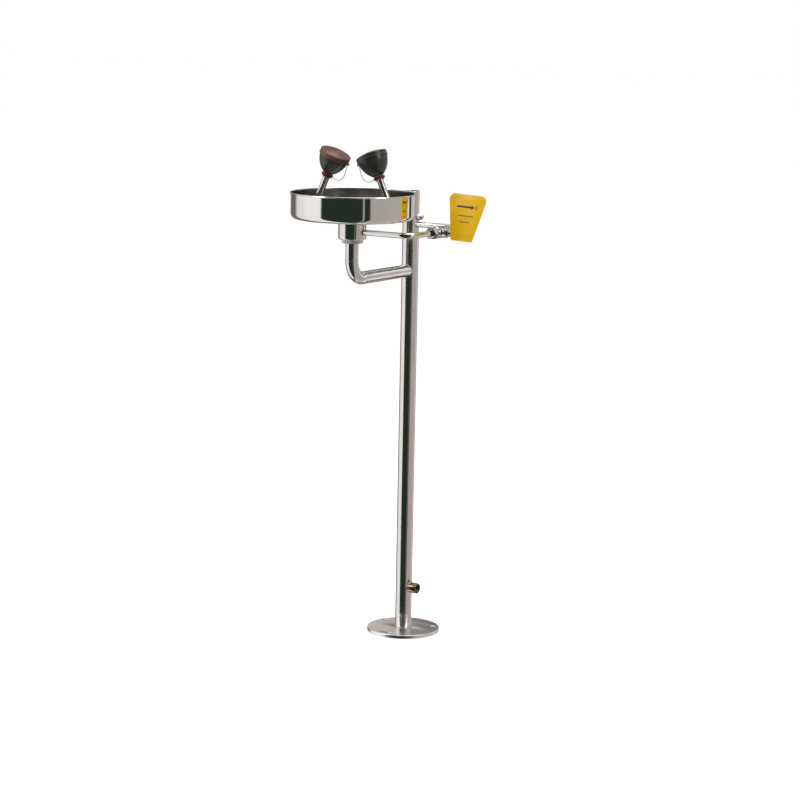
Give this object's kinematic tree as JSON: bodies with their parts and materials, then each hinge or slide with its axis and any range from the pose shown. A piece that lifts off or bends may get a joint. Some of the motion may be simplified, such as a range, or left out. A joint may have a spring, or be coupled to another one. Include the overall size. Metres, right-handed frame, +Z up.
{
  "type": "eyewash station",
  "caption": "Pedestal eyewash station: floor column with a waste arm, round bowl with leaning capped spray heads, and a side ball valve worked by a push paddle.",
  "frame": {"origin": "centre of the base plate's underside, on the column's axis", "axes": "+Z up along the column; -Y towards the user and the bowl; +X towards the supply valve and push paddle"},
  "size_m": [0.4056, 0.464, 1.1354],
  "materials": {
    "stainless": "polished stainless steel",
    "supply_tube": "polished stainless tube",
    "plated_fitting": "nickel-plated brass fitting",
    "fastener_steel": "plain stainless fastener",
    "rubber": "black rubber",
    "white_seal": "white PTFE",
    "dark_plastic": "very dark green gloss plastic",
    "maroon_plastic": "dark red-brown gloss plastic",
    "red_plastic": "red gloss plastic",
    "filter_foam": "open-cell filter foam",
    "yellow_paint": "golden yellow gloss paint",
    "clear_cord": "grey translucent cord"
  },
  "bodies": {
    "station": {"base_plate": "stainless", "bowl": "stainless", "bowl_gasket": "rubber", "collar_nut": "stainless", "collar_seal": "rubber", "column_cap": "stainless", "column_tube": "stainless", "cross_bolt": "fastener_steel", "cross_bolt_cap_nut": "fastener_steel", "cross_bolt_washers": "fastener_steel", "cup_collar_left": "red_plastic", "cup_collar_right": "red_plastic", "diffuser_left": "dark_plastic", "diffuser_right": "dark_plastic", "drain_arm": "stainless", "drain_body": "stainless", "drain_elbow": "stainless", "drain_riser": "stainless", "eye_cup_left": "dark_plastic", "eye_cup_right": "dark_plastic", "filter_disc_left": "filter_foam", "filter_disc_right": "filter_foam", "flange_washer": "rubber", "front_supply_pipe": "supply_tube", "gland_nut": "plated_fitting", "inlet_socket": "plated_fitting", "lanyard_left": "clear_cord", "lanyard_right": "clear_cord", "lanyard_ring_left": "rubber", "lanyard_ring_right": "rubber", "rear_supply_pipe": "supply_tube", "spray_tee": "plated_fitting", "spray_tube_left": "supply_tube", "spray_tube_right": "supply_tube", "standpipe": "supply_tube", "stem_packing": "white_seal", "stem_seal_left": "rubber", "stem_seal_right": "rubber", "strainer": "stainless", "supply_elbow": "supply_tube", "supply_riser": "supply_tube", "union_nuts": "plated_fitting", "union_washers": "rubber", "valve_body": "plated_fitting", "valve_end_adapter": "plated_fitting", "valve_seats": "white_seal", "waste_flange": "stainless"},
    "push_handle": {"valve_ball": "fastener_steel", "valve_stem": "fastener_steel", "lever": "stainless", "lever_washer": "fastener_steel", "lever_nut": "fastener_steel", "paddle": "yellow_paint", "paddle_washers": "fastener_steel", "paddle_nuts": "fastener_steel"},
    "cap_left": {"dust_cap_left": "maroon_plastic"},
    "cap_right": {"dust_cap_right": "dark_plastic"}
  },
  "joints": [
    {"name": "push_paddle", "type": "hinge", "parent": "station", "child": "push_handle", "pos_m": [0.15, -0.122, 0.951], "axis": [-1, 0, 0], "range_deg": [0, 90]},
    {"name": "lift_cap_left", "type": "slide", "parent": "station", "child": "cap_left", "axis": [0.4147, 0, 0.91], "range_m": [0, 0.01], "deforming": ["lanyard_left"]},
    {"name": "lift_cap_right", "type": "slide", "parent": "station", "child": "cap_right", "axis": [-0.4147, 0, 0.91], "range_m": [0, 0.01], "deforming": ["lanyard_right"]}
  ]
}
